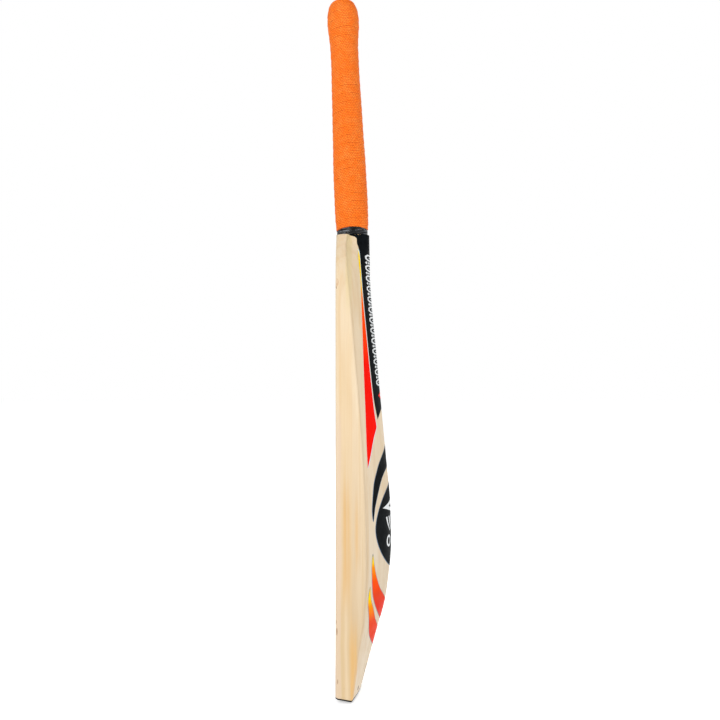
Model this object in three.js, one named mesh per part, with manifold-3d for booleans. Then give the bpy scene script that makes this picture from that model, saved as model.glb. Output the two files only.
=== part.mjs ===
// Adult short-handle cricket bat, as the separate pieces it is made of. Millimetres.
//
// Heights run up the bat from the lowest point of the toe, depths run from the playing face to
// the back, and X runs across the blade. The whole bat is moved at the end of this file, so that
// its origin is the middle of the flat underside of the toe.

import * as THREE from 'three';
import { mergeVertices } from 'three/addons/utils/BufferGeometryUtils.js';
import Module from 'manifold-3d';

const wasm = await Module();
wasm.setup();

// ---- Driving dimensions ------------------------------------------------------------------

const BAT_LENGTH = 850;
const BLADE_LENGTH = 559;
const BLADE_HALF_WIDTH = 54;
const SPINE_PEAK = 68;
const EDGE_PEAK = 37;
const HANDLE_LEAN = THREE.MathUtils.degToRad(2.54);
const TOE_SLANT = THREE.MathUtils.degToRad(10);
const GAP = 0.3;

// Depth of the spine, depth of the edges and half width, each at a few heights up the blade.
const SPINE_DEPTH = [[0, 30.5], [30, 38.8], [60, 47], [120, 62.6], [180, SPINE_PEAK], [225, 67],
  [285, 61.6], [405, 50.2], [510, 41.4], [BLADE_LENGTH, 40.2]];
const EDGE_DEPTH = [[0, 20], [50, 26], [100, 33.6], [165, EDGE_PEAK], [217, 36.2], [311, 31.6],
  [440, 21], [500, 16], [545, 12.8], [BLADE_LENGTH, 15]];
const HALF_WIDTH = [[0, 52.5], [40, BLADE_HALF_WIDTH], [465, BLADE_HALF_WIDTH], [490, 53],
  [505, 50.6], [520, 45.6], [533, 38.6], [544, 30.6], [552, 24.8], [BLADE_LENGTH, 19.6]];

// A chamfer grows along the back corner of the edges towards the shoulders, the back fills out
// to the round of the handle, and so does the front corner.
const CHAMFER_WIDTH = [[0, 0], [460, 0], [545, 7], [BLADE_LENGTH, 1]];
const BACK_FILL = [[0, 0], [520, 0], [BLADE_LENGTH, 1]];
const FRONT_CORNER_RADIUS = [[0, 3.5], [510, 3.5], [BLADE_LENGTH, 9]];
const BACK_CORNER_RADIUS = 2.5;
const CHAMFER_SLOPE = 0.9;
const SPINE_ROUNDING = 20;
const BACK_FALL_POWER = 1.1;
const FACE_BOW = 0.3;
const FACE_CAMBER = 0.3;

// The handle runs on down into the blade as a wedge, glued into a slot of the same shape.
const SPLICE_LENGTH = 122;
const SPLICE_HALF_WIDTH_TOP = 16;
const SPLICE_HALF_WIDTH_TIP = 4;
const SHOULDER_OVERLAP = 3;

// Outer half thickness of the grip, front to back and side to side, at distances up the handle.
const HANDLE_LENGTH = BAT_LENGTH - BLADE_LENGTH;
const GRIP_DEPTH = [[0, 19.6], [9, 19.8], [20, 20.5], [41, 20.8], [85, 20.3], [115, 19.4],
  [175, 18.2], [216, 17.3], [234, 17.3], [250, 18.3], [264, 19.5], [278, 19.5], [HANDLE_LENGTH, 19.5]];
const GRIP_SIDE = [[0, 18], [41, 18.8], [115, 18.3], [175, 17.7], [216, 17.2], [234, 17.3],
  [250, 18.3], [264, 19.5], [278, 19.5], [HANDLE_LENGTH, 19.5]];
const GRIP_WALL = [[0, 2], [238, 2], [262, 3.2], [272, 3.6], [HANDLE_LENGTH, 8]];
const GRIP_START = 8.3;
const TOP_HOLE_RADIUS = 8;
const TOP_WALL = 3;
const TOP_ROUNDING = 8;
const TOP_ROUNDING_HEIGHT = 22;
const TWINE_WALL = 0.9;
const TWINE_STOP = 15;
const TAPE_WALL = 1.6;
const HANDLE_SIDES = 24;

// The handle is four slabs of three canes, with a rubber spring between each two slabs.
const SPRING_THICKNESS = 1.4;
const SLAB_PITCH = 8.4;
const MIDDLE_CANE_WIDTH = 10.4;

const TOE_GUARD_THICKNESS = 2;
const TOE_MIDDLE_DEPTH = 15;
const STICKER_LIFT = 0.3;
const STICKER_THICKNESS = 0.4;
const STICKER_MIN_DEPTH = 8;
const DISC_CENTRE = 201;
const DISC_HALF_WIDTH = 38.2;
const DISC_HALF_HEIGHT = 51.5;
const DISC_POWER = 1.75;
const DISC_SIDES = 40;
const CURVE_STEPS = 4;
const FAR = 200;

// ---- Materials ---------------------------------------------------------------------------

const material = (color, roughness) => new THREE.MeshStandardMaterial({ color, roughness, metalness: 0 });
const willow = material(0xecd7ae, 0.55);
const cane = material(0xd9b98a, 0.6);
const springRubber = material(0x1e1f21, 0.8);
const twine = material(0xd8c7a0, 0.8);
const blackTape = material(0x16181a, 0.25);
const orangeRubber = material(0xfc7521, 0.8);
const toeRubber = material(0x17181a, 0.6);
const blackSticker = material(0x1b1f22, 0.25);
const redSticker = material(0xf2330f, 0.3);

// ---- Curves and closed meshes ------------------------------------------------------------

// A smooth curve through [position, value] pairs that never swings past them.
function valueAt(pairs, position) {
  const last = pairs.length - 1;
  const along = THREE.MathUtils.clamp(position, pairs[0][0], pairs[last][0]);
  const slope = (i) => (pairs[i + 1][1] - pairs[i][1]) / (pairs[i + 1][0] - pairs[i][0]);
  const tangent = (i) => {
    if (i === 0) return slope(0);
    if (i === last) return slope(last - 1);
    const [before, after] = [slope(i - 1), slope(i)];
    return before * after <= 0 ? 0 : (2 * before * after) / (before + after);
  };
  const i = Math.min(last - 1, pairs.findLastIndex(([start]) => start <= along));
  const span = pairs[i + 1][0] - pairs[i][0];
  const t = (along - pairs[i][0]) / span;
  const [t2, t3] = [t * t, t * t * t];
  return (2 * t3 - 3 * t2 + 1) * pairs[i][1] + (t3 - 2 * t2 + t) * span * tangent(i)
    + (3 * t2 - 2 * t3) * pairs[i + 1][1] + (t3 - t2) * span * tangent(i + 1);
}

// Evenly spaced numbers from start to end, both included.
function spread(start, end, steps) {
  return Array.from({ length: steps + 1 }, (_, i) => start + ((end - start) * i) / steps);
}

// A closed mesh through rings of points, all wound anticlockwise as seen from above, from the
// lowest ring to the highest.
function loft(rings) {
  const count = rings[0].length;
  const faces = [];
  for (let level = 0; level < rings.length - 1; level += 1) {
    for (let i = 0; i < count; i += 1) {
      const a = level * count + i;
      const b = level * count + ((i + 1) % count);
      faces.push(a, b, b + count, a, b + count, a + count);
    }
  }
  const [first, last] = [0, (rings.length - 1) * count];
  const [bottom, top] = [rings.length * count, rings.length * count + 1];
  for (let i = 0; i < count; i += 1) {
    const next = (i + 1) % count;
    faces.push(bottom, first + next, first + i, top, last + i, last + next);
  }
  const middle = (ring) => ring.reduce((sum, point) => sum.add(point), new THREE.Vector3())
    .divideScalar(ring.length);
  const geometry = new THREE.BufferGeometry()
    .setFromPoints([...rings.flat(), middle(rings[0]), middle(rings.at(-1))]);
  geometry.setIndex(faces);
  return geometry;
}

// A mesh as a solid that can be cut and joined.
function solid(geometry) {
  const bare = geometry.clone();
  bare.deleteAttribute('normal');
  bare.deleteAttribute('uv');
  const merged = mergeVertices(bare, 1e-4);
  return new wasm.Manifold(new wasm.Mesh({
    numProp: 3,
    vertProperties: new Float32Array(merged.attributes.position.array),
    triVerts: new Uint32Array(merged.index.array),
  }));
}

// A named mesh from a solid.
function piece(name, body, look) {
  const mesh = body.getMesh();
  const geometry = new THREE.BufferGeometry();
  geometry.setAttribute('position', new THREE.BufferAttribute(mesh.vertProperties, 3));
  geometry.setIndex(new THREE.BufferAttribute(mesh.triVerts, 1));
  geometry.computeVertexNormals();
  const result = new THREE.Mesh(geometry, look);
  result.name = name;
  return result;
}

// From the handle's own axes, which lean and start in the middle of the top of the blade, to the
// bat's.
const HANDLE_ROOT = new THREE.Vector3(0, SPINE_DEPTH.at(-1)[1] / 2, BLADE_LENGTH);
const handleMatrix = new THREE.Matrix4().makeRotationX(HANDLE_LEAN).setPosition(HANDLE_ROOT);
const moved = (body, matrix) => body.transform(matrix.elements);

// ---- The blade's own surface -------------------------------------------------------------

// Depth of the back of the blade at a distance from its middle line.
function backDepth(x, height) {
  const halfWidth = valueAt(HALF_WIDTH, height);
  const spine = valueAt(SPINE_DEPTH, height);
  const corner = halfWidth - BACK_CORNER_RADIUS;
  const chamferStart = corner - valueAt(CHAMFER_WIDTH, height);
  const chamferTop = valueAt(EDGE_DEPTH, height) + (corner - chamferStart) * CHAMFER_SLOPE;
  if (x > chamferStart) return chamferTop - (x - chamferStart) * CHAMFER_SLOPE;
  const rounded = (distance) => Math.hypot(distance, SPINE_ROUNDING) - SPINE_ROUNDING;
  const ridged = (rounded(x) / rounded(chamferStart)) ** BACK_FALL_POWER;
  const full = 1 - Math.sqrt(Math.max(0, 1 - (x / chamferStart) ** 2));
  const fall = THREE.MathUtils.lerp(ridged, full, valueAt(BACK_FILL, height));
  return spine - (spine - chamferTop) * fall;
}

// Half of the blade's outline at one height, from the spine round one edge to the middle of the
// face, as [x, depth] pairs. The back can be lifted, to make the skins under the stickers.
function halfOutline(height, lift) {
  const halfWidth = valueAt(HALF_WIDTH, height);
  const chamferStart = halfWidth - BACK_CORNER_RADIUS - valueAt(CHAMFER_WIDTH, height);
  const points = spread(0, 1, 8).map((t) => {
    const x = chamferStart * t ** 1.15;
    return [x, backDepth(x, height) + lift];
  });
  const corner = halfWidth - BACK_CORNER_RADIUS;
  const edge = valueAt(EDGE_DEPTH, height);
  points.push([corner + 0.01, backDepth(corner, height) + lift]);
  points.push([halfWidth - BACK_CORNER_RADIUS * 0.3, edge - BACK_CORNER_RADIUS * 0.3 + lift]);
  points.push([halfWidth, edge - BACK_CORNER_RADIUS]);
  const radius = valueAt(FRONT_CORNER_RADIUS, height);
  const face = FACE_BOW * (1 - ((height - BLADE_LENGTH / 2) / (BLADE_LENGTH / 2)) ** 2);
  for (const turn of spread(0, Math.PI / 2, 3)) {
    const x = halfWidth - radius + radius * Math.cos(turn);
    points.push([x, face + radius + FACE_CAMBER - radius * Math.sin(turn)]);
  }
  for (const t of [0.66, 0.33]) {
    const x = (halfWidth - radius) * t;
    points.push([x, face + FACE_CAMBER * t * t]);
  }
  points.push([0, face]);
  return points;
}

// The uncut blade, as a solid, from just below the toe to the shoulders, where it ends square to
// the handle.
function bladeForm(lift = 0) {
  const heights = [-12, 0, 20, 40, 60, 90, 120, 150, 180, 225, 285, 345, 405, 460, 490, 505, 520,
    533, 544, 552, BLADE_LENGTH + 4];
  const rings = heights.map((height) => {
    const half = halfOutline(Math.max(0, height), lift);
    const right = half.map(([x, depth]) => new THREE.Vector3(x, depth, height));
    const left = half.slice(1, -1).reverse().map(([x, depth]) => new THREE.Vector3(-x, depth, height));
    return [...right, ...left].reverse();
  });
  const aboveShoulders = new THREE.BoxGeometry(FAR, FAR, FAR).translate(0, 0, FAR / 2);
  return solid(loft(rings)).subtract(solid(aboveShoulders.applyMatrix4(handleMatrix)));
}

// Everything above a plane parallel to the underside of the toe, at a distance from it.
function aboveToe(distance) {
  const block = new THREE.BoxGeometry(FAR * 2, FAR * 2, BAT_LENGTH * 2);
  block.translate(0, 0, BAT_LENGTH + distance);
  block.rotateX(-TOE_SLANT);
  block.translate(0, SPINE_DEPTH[0][1], 0);
  return solid(block);
}

// ---- The handle's own shapes -------------------------------------------------------------

// A ring round the handle, with its own half thickness front to back and side to side.
function ovalRing(side, depth, height) {
  return spread(0, 1, HANDLE_SIDES).slice(0, -1).map((turn) => new THREE.Vector3(
    side * Math.cos(turn * 2 * Math.PI), depth * Math.sin(turn * 2 * Math.PI), height));
}

// The solid round of the handle under the grip, drawn in from the grip's inner wall.
function handleCore(inset, start, end) {
  const between = GRIP_DEPTH.map(([height]) => height).filter((height) => height > start && height < end);
  return solid(loft([start, ...between, end].map((height) => {
    const reach = valueAt(GRIP_WALL, height) + inset;
    return ovalRing(valueAt(GRIP_SIDE, height) - reach, valueAt(GRIP_DEPTH, height) - reach, height);
  })));
}

// The wedge that runs down into the blade, grown sideways by a clearance. It is deeper than the
// blade from front to back.
function spliceWedge(clearance) {
  const outline = new THREE.Shape();
  outline.moveTo(-SPLICE_HALF_WIDTH_TIP - clearance, -SPLICE_LENGTH - clearance);
  outline.lineTo(SPLICE_HALF_WIDTH_TIP + clearance, -SPLICE_LENGTH - clearance);
  outline.lineTo(SPLICE_HALF_WIDTH_TOP + clearance, SHOULDER_OVERLAP);
  outline.lineTo(-SPLICE_HALF_WIDTH_TOP - clearance, SHOULDER_OVERLAP);
  const wedge = new THREE.ExtrudeGeometry(outline, { depth: FAR, bevelEnabled: false });
  wedge.translate(0, 0, -FAR / 2);
  wedge.rotateX(Math.PI / 2);
  return solid(wedge);
}

const wholeBlade = bladeForm();

// ---- Willow blade and toe guard ----------------------------------------------------------

function blade() {
  const slot = moved(spliceWedge(GAP), handleMatrix);
  const body = wholeBlade.intersect(aboveToe(TOE_GUARD_THICKNESS + GAP)).subtract(slot);
  return piece('blade', body, willow);
}

function toeGuard() {
  const body = wholeBlade.intersect(aboveToe(0)).subtract(aboveToe(TOE_GUARD_THICKNESS));
  return piece('toe_guard', body, toeRubber);
}

// ---- Cane handle -------------------------------------------------------------------------

// The handle with all its canes and springs as one solid, in the handle's own axes.
function handleForm() {
  const bladeHere = moved(wholeBlade, handleMatrix.clone().invert());
  const wedge = spliceWedge(0).intersect(bladeHere);
  return wedge.add(handleCore(TWINE_WALL + 2 * GAP, -SHOULDER_OVERLAP, HANDLE_LENGTH - TOP_WALL - GAP));
}

// A long box between two sides across the handle and two depths.
function slice([left, right], [front, back]) {
  const box = new THREE.BoxGeometry(right - left, back - front, BAT_LENGTH * 2);
  box.translate((left + right) / 2, (front + back) / 2, 0);
  return solid(box);
}

function caneHandle() {
  const whole = handleForm();
  const halfSpring = SPRING_THICKNESS / 2;
  const slabs = [
    ['front', [-FAR, -SLAB_PITCH - halfSpring - GAP]],
    ['front_inner', [-SLAB_PITCH + halfSpring + GAP, -halfSpring - GAP]],
    ['back_inner', [halfSpring + GAP, SLAB_PITCH - halfSpring - GAP]],
    ['back', [SLAB_PITCH + halfSpring + GAP, FAR]],
  ];
  const halfCane = MIDDLE_CANE_WIDTH / 2;
  const columns = [
    ['left', [-FAR, -halfCane - GAP]],
    ['middle', [-halfCane, halfCane]],
    ['right', [halfCane + GAP, FAR]],
  ];
  const canes = slabs.flatMap(([slab, depths]) => columns.map(([column, sides]) => piece(
    `cane_${slab}_${column}`, whole.intersect(slice(sides, depths)), cane)));
  const springs = [['front', -SLAB_PITCH], ['middle', 0], ['back', SLAB_PITCH]].map(([name, depth]) => piece(
    `handle_spring_${name}`,
    whole.intersect(slice([-FAR, FAR], [depth - halfSpring, depth + halfSpring])), springRubber));
  return [...canes, ...springs];
}

// ---- Twine, tape and grip over the handle ------------------------------------------------

function twineBinding() {
  const [start, end] = [GAP, HANDLE_LENGTH - TWINE_STOP];
  const inside = handleCore(GAP + TWINE_WALL, start - 1, end + 1);
  return piece('twine_binding', handleCore(GAP, start, end).subtract(inside), twine);
}

function gripEndTape() {
  const outside = handleCore(-TAPE_WALL, GAP, GRIP_START - GAP);
  return piece('grip_end_tape', outside.subtract(handleCore(0, -1, GRIP_START + 1)), blackTape);
}

function grip() {
  const roundStart = HANDLE_LENGTH - TOP_ROUNDING_HEIGHT;
  const heights = GRIP_DEPTH.map(([height]) => height)
    .filter((height) => height > GRIP_START && height < roundStart);
  const rings = [GRIP_START, ...heights].map((height) => ovalRing(
    valueAt(GRIP_SIDE, height), valueAt(GRIP_DEPTH, height), height));
  for (const turn of spread(0, Math.PI / 2, 6)) {
    const radius = valueAt(GRIP_DEPTH, HANDLE_LENGTH) - TOP_ROUNDING * (1 - Math.cos(turn));
    rings.push(ovalRing(radius, radius, roundStart + TOP_ROUNDING_HEIGHT * Math.sin(turn)));
  }
  const room = handleCore(0, 0, HANDLE_LENGTH - TOP_WALL);
  const hole = new THREE.CylinderGeometry(TOP_HOLE_RADIUS, TOP_HOLE_RADIUS, TOP_WALL * 4, HANDLE_SIDES);
  hole.rotateX(Math.PI / 2);
  hole.translate(0, 0, HANDLE_LENGTH);
  return piece('grip', solid(loft(rings)).subtract(room).subtract(solid(hole)), orangeRubber);
}

// ---- Stickers on the back ----------------------------------------------------------------

const stickerSkin = bladeForm(STICKER_LIFT + STICKER_THICKNESS).subtract(bladeForm(STICKER_LIFT));

// A thin sticker lying on the back of the blade, cut to an outline across and up it.
function sticker(name, outline, look) {
  const prism = new THREE.ExtrudeGeometry(outline, {
    depth: FAR, bevelEnabled: false, curveSegments: CURVE_STEPS });
  prism.rotateX(Math.PI / 2);
  prism.translate(0, FAR + STICKER_MIN_DEPTH, 0);
  return piece(name, stickerSkin.intersect(solid(prism)), look);
}

// An outline of smooth stretches that meet at sharp corners, each a list of [x, height] points
// that starts where the last one ended.
function outlineOf(stretches) {
  const outline = new THREE.Shape();
  outline.moveTo(...stretches[0][0]);
  for (const [, ...rest] of stretches) {
    if (rest.length === 1) outline.lineTo(...rest[0]);
    else outline.splineThru(rest.map(([x, height]) => new THREE.Vector2(x, height)));
  }
  return outline;
}

const mirrored = (stretch) => stretch.map(([x, height]) => [-x, height]).reverse();

// The long black label down the splice, from the shoulders to a notched lower end.
function spineLabel() {
  const side = [[21.7, 332.5], [24.6, 356], [26.3, 395], [26.8, 441], [27.2, 489], [25.2, 512], [17.6, 543],
    [12.8, 558]];
  const notch = [[0, 345.5], [12, 341.2], [21.7, 332.5]];
  const top = [[12.8, 558], [-12.8, 558]];
  return sticker('spine_label', outlineOf([side, top, mirrored(side), mirrored(notch), notch]), blackSticker);
}

// A flame along each side of the label. It starts as a point by the shoulder, widens downwards
// and sweeps out to a second point by the edge, past the label's lower end.
function spineFlame(side) {
  const inner = [[25.5, 323.5], [27.6, 348], [28.6, 395], [28.8, 441], [28.9, 489], [26.4, 512], [19.9, 541]];
  const outer = [[19.9, 541], [28, 514], [35.9, 441], [40.2, 381], [44.4, 312], [44.7, 278.4]];
  const sweep = [[44.7, 278.4], [40.4, 291.5], [33.4, 308.9], [25.5, 323.5]];
  const right = [inner, outer, sweep];
  const stretches = side === 'right' ? right : right.map(mirrored).reverse();
  return sticker(`spine_flame_${side}`, outlineOf(stretches), redSticker);
}

// A band over the spine that ends in a point near each edge, from the upper and the lower curve
// of its right half. Both start on the spine and end in the point.
function crescent(name, upper, lower, look) {
  const across = (half) => [...mirrored(half), ...half.slice(1)];
  return sticker(name, outlineOf([across(upper), across(lower).reverse()]), look);
}

function archLabel() {
  const upper = [[0, 298.5], [9, 296], [24.5, 282], [32.5, 269], [38.5, 254], [42.4, 227], [41.4, 212]];
  const lower = [[0, 273.5], [10, 271.5], [19.8, 265.5], [28.4, 254], [37.8, 231], [41.4, 212]];
  return crescent('arch_label', upper, lower, blackSticker);
}

// A disc drawn in a little between its four outermost points.
function discLabel() {
  const drawnIn = (value) => Math.sign(value) * Math.abs(value) ** (2 / DISC_POWER);
  const points = spread(0, 2 * Math.PI, DISC_SIDES).slice(0, -1).map((turn) => new THREE.Vector2(
    DISC_HALF_WIDTH * drawnIn(Math.cos(turn)), DISC_CENTRE + DISC_HALF_HEIGHT * drawnIn(Math.sin(turn))));
  const outline = new THREE.Shape(points);
  return sticker('disc_label', outline, blackSticker);
}

function upperSwoosh() {
  const upper = [[0, 108.5], [9.3, 110.8], [26.3, 126.7], [35.2, 142.4], [40.1, 157.7], [42.9, 174]];
  const lower = [[0, 84.5], [12.9, 88.5], [25.9, 99.8], [35.1, 113.3], [40.6, 128.6], [43.9, 156.9], [42.9, 174]];
  return crescent('swoosh_upper', upper, lower, redSticker);
}

function lowerSwoosh() {
  const upper = [[0, 73.5], [13.1, 78.3], [28.5, 92.5], [37, 108.4], [42.3, 120.2], [45.1, 135.6]];
  const lower = [[0, 51], [8, 53], [25.3, 65.4], [37, 80.9], [45.4, 111.4], [46.6, 124.4], [45.1, 135.6]];
  return crescent('swoosh_lower', upper, lower, redSticker);
}

// ---- The whole bat -----------------------------------------------------------------------

const handle = new THREE.Group();
handle.position.copy(HANDLE_ROOT);
handle.rotation.x = HANDLE_LEAN;
handle.add(...caneHandle(), twineBinding(), gripEndTape(), grip());

const bat = new THREE.Group();
bat.add(blade(), toeGuard(), handle);
bat.add(spineLabel(), spineFlame('left'), spineFlame('right'));
bat.add(archLabel(), discLabel(), upperSwoosh(), lowerSwoosh());
const toeMiddleHeight = (SPINE_DEPTH[0][1] - TOE_MIDDLE_DEPTH) * Math.tan(TOE_SLANT);
bat.position.set(0, -TOE_MIDDLE_DEPTH, -toeMiddleHeight);

export default bat;
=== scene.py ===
"""The looks of the cricket bat: fine meshes, materials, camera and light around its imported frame.

Heights run up the bat from the lowest point of the toe, depths from the playing face to the back
and x across the blade, all in millimetres, as the part's own design gives them. to_frame() turns
them into the frame's metres, where the origin is the middle of the toe's flat underside.
"""

import math

import bmesh
import bpy
import numpy as np
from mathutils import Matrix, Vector, geometry


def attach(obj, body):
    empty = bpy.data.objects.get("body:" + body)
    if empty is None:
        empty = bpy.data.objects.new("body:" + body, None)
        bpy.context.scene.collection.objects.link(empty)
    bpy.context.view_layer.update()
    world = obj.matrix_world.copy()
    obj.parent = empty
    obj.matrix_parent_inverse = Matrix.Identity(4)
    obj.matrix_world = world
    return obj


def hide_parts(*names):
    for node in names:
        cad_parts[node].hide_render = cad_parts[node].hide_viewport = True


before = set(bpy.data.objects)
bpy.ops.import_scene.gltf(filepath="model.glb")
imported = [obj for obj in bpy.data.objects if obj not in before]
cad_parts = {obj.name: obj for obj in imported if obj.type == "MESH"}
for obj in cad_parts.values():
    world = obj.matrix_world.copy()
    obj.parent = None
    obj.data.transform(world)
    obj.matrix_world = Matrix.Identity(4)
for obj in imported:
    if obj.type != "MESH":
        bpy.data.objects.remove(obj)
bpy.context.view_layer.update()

# ---- Driving dimensions, in millimetres ----

MM = 0.001
BAT_LENGTH = 850.0
BLADE_LENGTH = 559.0
HALF_WIDTH_MAX = 54.0
SPINE_PEAK = 68.0
EDGE_PEAK = 37.0
HANDLE_LENGTH = BAT_LENGTH - BLADE_LENGTH
HANDLE_LEAN = math.radians(2.54)
TOE_SLANT = math.radians(10)
TOE_MIDDLE_DEPTH = 15.0

SPINE_DEPTH = [(0, 30.5), (30, 38.8), (60, 47), (120, 62.6), (180, SPINE_PEAK), (225, 67),
               (285, 61.6), (405, 50.2), (510, 41.4), (BLADE_LENGTH, 40.2)]
EDGE_DEPTH = [(0, 20), (50, 26), (100, 33.6), (165, EDGE_PEAK), (217, 36.2), (311, 31.6),
              (440, 21), (500, 16), (545, 12.8), (BLADE_LENGTH, 15)]
HALF_WIDTH = [(0, 52.5), (40, HALF_WIDTH_MAX), (465, HALF_WIDTH_MAX), (490, 53), (505, 50.6),
              (520, 45.6), (533, 38.6), (544, 30.6), (552, 24.8), (BLADE_LENGTH, 19.6)]
CHAMFER_WIDTH = [(0, 0), (460, 0), (545, 7), (BLADE_LENGTH, 1)]
BACK_FILL = [(0, 0), (520, 0), (BLADE_LENGTH, 1)]
FRONT_CORNER_RADIUS = [(0, 3.5), (510, 3.5), (BLADE_LENGTH, 9)]
BACK_CORNER_RADIUS = 2.5
CHAMFER_SLOPE = 0.9
SPINE_ROUNDING = 20.0
BACK_FALL_POWER = 1.1
FACE_BOW = 0.3
FACE_CAMBER = 0.3

SPLICE_LENGTH = 122.0
SPLICE_HALF_WIDTH_TOP = 16.0
SPLICE_HALF_WIDTH_TIP = 4.0
GLUE_LINE = 0.2

GRIP_DEPTH = [(0, 19.6), (9, 19.8), (20, 20.5), (41, 20.8), (85, 20.3), (115, 19.4), (175, 18.2),
              (216, 17.3), (234, 17.3), (250, 18.3), (264, 19.5), (278, 19.5),
              (HANDLE_LENGTH, 19.5)]
GRIP_SIDE = [(0, 18), (41, 18.8), (115, 18.3), (175, 17.7), (216, 17.2), (234, 17.3),
             (250, 18.3), (264, 19.5), (278, 19.5), (HANDLE_LENGTH, 19.5)]
GRIP_WALL = [(0, 2), (238, 2), (262, 3.2), (272, 3.6), (HANDLE_LENGTH, 8)]
GRIP_START = 8.3
TOP_HOLE_RADIUS = 8.0
TOP_WALL = 3.0
TOP_ROUNDING = 8.0
TOP_ROUNDING_HEIGHT = 22.0
TWINE_WALL = 0.9
TWINE_STOP = 15.0
TAPE_WALL = 1.6
TOE_GUARD_THICKNESS = 2.0
TOE_GAP = 0.1


# ---- Curves and frames ----

def value_at(pairs, position):
    """A smooth curve through (position, value) pairs that never swings past them."""
    starts = np.array([pair[0] for pair in pairs], float)
    values = np.array([pair[1] for pair in pairs], float)
    spans = np.diff(starts)
    slopes = np.diff(values) / spans
    product = slopes[:-1] * slopes[1:]
    total = np.where(product > 0, slopes[:-1] + slopes[1:], 1)
    inner = np.where(product > 0, 2 * product / total, 0)
    tangents = np.concatenate([slopes[:1], inner, slopes[-1:]])
    along = np.clip(position, starts[0], starts[-1])
    i = np.clip(np.searchsorted(starts, along, side="right") - 1, 0, len(spans) - 1)
    span = spans[i]
    t = (along - starts[i]) / span
    return ((2 * t**3 - 3 * t**2 + 1) * values[i] + (t**3 - 2 * t**2 + t) * span * tangents[i]
            + (3 * t**2 - 2 * t**3) * values[i + 1] + (t**3 - t**2) * span * tangents[i + 1])


def smooth_step(low, high, value):
    """0 below low, 1 above high, and a soft ramp between."""
    t = np.clip((np.asarray(value, float) - low) / (high - low), 0, 1)
    return t * t * (3 - 2 * t)


TOE_MIDDLE_HEIGHT = (SPINE_DEPTH[0][1] - TOE_MIDDLE_DEPTH) * math.tan(TOE_SLANT)
HANDLE_ROOT = np.array([0, SPINE_DEPTH[-1][1] / 2, BLADE_LENGTH])


def to_frame(points):
    """Points of the design, in millimetres, as points of the frame, in metres."""
    return (np.asarray(points, float) - [0, TOE_MIDDLE_DEPTH, TOE_MIDDLE_HEIGHT]) * MM


def handle_to_bat(points):
    """Points on the handle's own leaning axes as points of the design."""
    points = np.asarray(points, float)
    cos, sin = math.cos(HANDLE_LEAN), math.sin(HANDLE_LEAN)
    x, y, z = points[..., 0], points[..., 1], points[..., 2]
    return np.stack([x, y * cos - z * sin, y * sin + z * cos], axis=-1) + HANDLE_ROOT


# ---- Meshes ----

def placed(made):
    """Puts a new object in the scene."""
    bpy.context.scene.collection.objects.link(made)
    return made


def mesh_object(name, points, faces, material, smooth=True):
    """An object in the frame from points of the design and faces."""
    mesh = bpy.data.meshes.new(name)
    mesh.from_pydata(to_frame(points).tolist(), [], faces)
    mesh.materials.append(material)
    mesh.polygons.foreach_set("use_smooth", [smooth] * len(mesh.polygons))
    mesh.update()
    return placed(bpy.data.objects.new(name, mesh))


def grid_faces(rows, columns, wrap_rows=False):
    """Quads over a grid of points. The last column joins the first, and the last row can too."""
    faces = []
    for row in range(rows if wrap_rows else rows - 1):
        above = (row + 1) % rows
        for column in range(columns):
            right = (column + 1) % columns
            faces.append((row * columns + column, row * columns + right,
                          above * columns + right, above * columns + column))
    return faces


def finish_piece(piece, slot, *nodes):
    """Says what a piece rides on and stands for. Its slot is not used."""
    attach(piece, "root")
    if nodes:
        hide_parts(*nodes)
    return piece


def apply_modifiers(piece):
    """Turns a piece's modifiers into mesh."""
    graph = bpy.context.evaluated_depsgraph_get()
    mesh = bpy.data.meshes.new_from_object(piece.evaluated_get(graph))
    piece.modifiers.clear()
    piece.data = mesh


# ---- The blade's surface ----

def back_depth(x, height):
    """Depth of the back of the blade at a distance from its middle line."""
    x = np.abs(x)
    corner = value_at(HALF_WIDTH, height) - BACK_CORNER_RADIUS
    chamfer = value_at(CHAMFER_WIDTH, height)
    start = corner - chamfer
    top = value_at(EDGE_DEPTH, height) + chamfer * CHAMFER_SLOPE
    spine = value_at(SPINE_DEPTH, height)
    reach = np.minimum(x, start)
    rounded = np.hypot(reach, SPINE_ROUNDING) - SPINE_ROUNDING
    whole = np.hypot(start, SPINE_ROUNDING) - SPINE_ROUNDING
    ridged = (rounded / whole) ** BACK_FALL_POWER
    full = 1 - np.sqrt(np.maximum(0, 1 - (reach / start) ** 2))
    fill = value_at(BACK_FILL, height)
    fall = ridged * (1 - fill) + full * fill
    return spine - (spine - top) * fall - np.maximum(0, x - start) * CHAMFER_SLOPE


def face_depth(x, height):
    """Depth of the playing face: it is bowed along the blade and cambered across it."""
    bow = FACE_BOW * (1 - ((height - BLADE_LENGTH / 2) / (BLADE_LENGTH / 2)) ** 2)
    reach = value_at(HALF_WIDTH, height) - value_at(FRONT_CORNER_RADIUS, height)
    return bow + FACE_CAMBER * np.minimum(1, np.abs(x) / reach) ** 2


def outline_points():
    """The stretches of the blade's half outline, from the spine round to the middle of the face,
    each as (stretch, how far along it from 0 to 1)."""
    stretches = [("back", 30), ("chamfer", 4), ("back_corner", 5), ("edge", 8),
                 ("front_corner", 7), ("face", 14)]
    points = []
    for stretch, steps in stretches:
        points += [(stretch, step / steps) for step in range(steps)]
    return points + [("face", 1.0)]


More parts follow.
